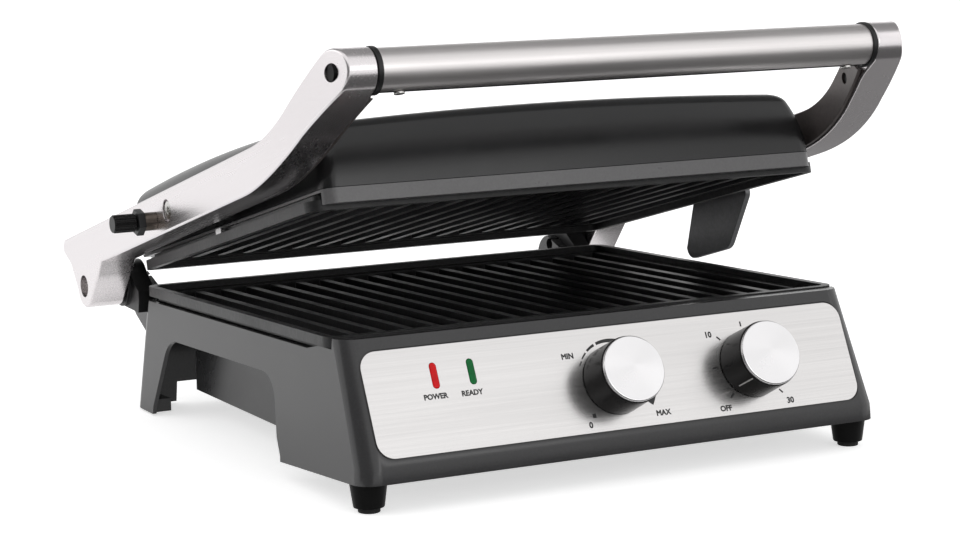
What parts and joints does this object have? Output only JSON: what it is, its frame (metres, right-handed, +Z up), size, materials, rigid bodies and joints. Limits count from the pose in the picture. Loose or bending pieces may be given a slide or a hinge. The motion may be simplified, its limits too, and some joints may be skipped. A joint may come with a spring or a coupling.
{
  "type": "contact grill with hinged lid",
  "caption": "Electric contact grill: ribbed plates in a control base and a floating domed lid, on side arms joined by a tube handle.",
  "frame": {"origin": "worktop, middle of the base footprint, on the left-right middle plane", "axes": "+Z up, the front with the controls faces -Y, +X to the right seen from the front"},
  "size_m": [0.4251, 0.4133, 0.2529],
  "materials": {
    "housing_plastic": "satin moulded plastic",
    "lid_plastic": "satin moulded plastic",
    "frame_plastic": "satin moulded plastic, a shade lighter than the lid",
    "pan_plastic": "black moulded plastic",
    "panel_steel": "stainless, brushed side to side",
    "red_lens": "clear red moulding",
    "green_lens": "clear green moulding",
    "lamp_glass": "neon lamp",
    "phenolic": "moulded phenolic",
    "switch_steel": "plated can",
    "cast_plate": "cast aluminium with a black textured non-stick coat",
    "heater_steel": "sheathed heating tube",
    "reflector_aluminium": "bright sheet",
    "ceramic": "glazed ceramic",
    "silicone_lead": "silicone sleeve",
    "black_rubber": "matt rubber",
    "black_plastic": "fine satin",
    "screw_steel": "plated steel",
    "dark_screw": "blackened steel",
    "knob_plastic": "satin black",
    "cap_steel": "bright spun cap",
    "tray_metal": "coated tray",
    "arm_metal": "brushed along its length, clear coat",
    "cover_plastic": "gunmetal satin paint",
    "tube_steel": "brushed stainless tube",
    "sleeve_metal": "dark bronze plated",
    "clip_steel": "spring steel",
    "lever_metal": "grey satin moulding"
  },
  "bodies": {
    "base": {"base_housing": "housing_plastic", "bottom_pan": "pan_plastic", "control_panel": "panel_steel", "power_lens": "red_lens", "ready_lens": "green_lens", "indicator_lamps": "lamp_glass", "thermostat_body": "phenolic", "timer_body": "switch_steel", "lower_plate": "cast_plate", "drain_spout": "cast_plate", "lower_heater": "heater_steel", "lower_reflector": "reflector_aluminium", "terminal_block": "ceramic", "base_wiring": "silicone_lead", "cord_gland": "black_rubber", "front_feet": "black_plastic", "foot_nubs": "black_rubber", "rear_pads": "black_rubber", "bottom_screws": "screw_steel", "hinge_posts": "black_plastic"},
    "thermostat": {"thermostat_spindle": "screw_steel", "thermostat_knob": "knob_plastic", "thermostat_cap": "cap_steel"},
    "timer": {"timer_spindle": "screw_steel", "timer_knob": "knob_plastic", "timer_cap": "cap_steel"},
    "tray": {"drip_tray": "tray_metal"},
    "arms": {"left_arm": "arm_metal", "right_arm": "arm_metal", "left_arm_cover": "cover_plastic", "right_arm_cover": "cover_plastic", "arm_cover_screws": "dark_screw", "hinge_screws": "screw_steel", "pivot_bolts": "screw_steel", "arm_plugs": "black_plastic", "handle_tube": "tube_steel", "handle_core": "pan_plastic", "handle_rings": "black_plastic", "handle_strip": "black_plastic", "handle_screws": "screw_steel", "lock_sleeve": "sleeve_metal", "lock_collar": "black_plastic", "lock_spring": "screw_steel", "lever_screw": "screw_steel"},
    "lid": {"lid_housing": "lid_plastic", "lid_frame": "frame_plastic", "upper_plate": "cast_plate", "upper_heater": "heater_steel", "upper_reflector": "reflector_aluminium", "pivot_bushes": "black_plastic", "lid_screws": "screw_steel", "plate_clips": "clip_steel"},
    "lock": {"lock_knob": "knob_plastic"},
    "lever": {"height_lever": "lever_metal"}
  },
  "joints": [
    {"name": "lid_hinge", "type": "hinge", "parent": "base", "child": "arms", "pos_m": [0, 0.18927, 0.07917], "axis": [-1, 0, 0], "range_deg": [-12.6, 165]},
    {"name": "lid_float", "type": "hinge", "parent": "arms", "child": "lid", "pos_m": [0, 0.03974, 0.1454], "axis": [1, 0, 0], "range_deg": [0, 6]},
    {"name": "thermostat_turn", "type": "hinge", "parent": "base", "child": "thermostat", "pos_m": [-0.004, -0.15457, 0.05636], "axis": [0, 0.8996, -0.4368], "range_deg": [0, 270]},
    {"name": "timer_turn", "type": "hinge", "parent": "base", "child": "timer", "pos_m": [0.088, -0.15457, 0.05636], "axis": [0, 0.8996, -0.4368], "range_deg": [0, 270]},
    {"name": "tray_slide", "type": "slide", "parent": "base", "child": "tray", "axis": [1, 0, 0], "range_m": [0, 0.2]},
    {"name": "lock_pull", "type": "slide", "parent": "arms", "child": "lock", "axis": [-1, 0, 0], "range_m": [0, 0.006], "stiffness_N_per_m": 300, "springref_m": -0.002, "deforming": ["lock_spring"]},
    {"name": "height_lever_turn", "type": "hinge", "parent": "arms", "child": "lever", "pos_m": [0, 0.05953, 0.13681], "axis": [1, 0, 0], "range_deg": [-40, 40]}
  ]
}
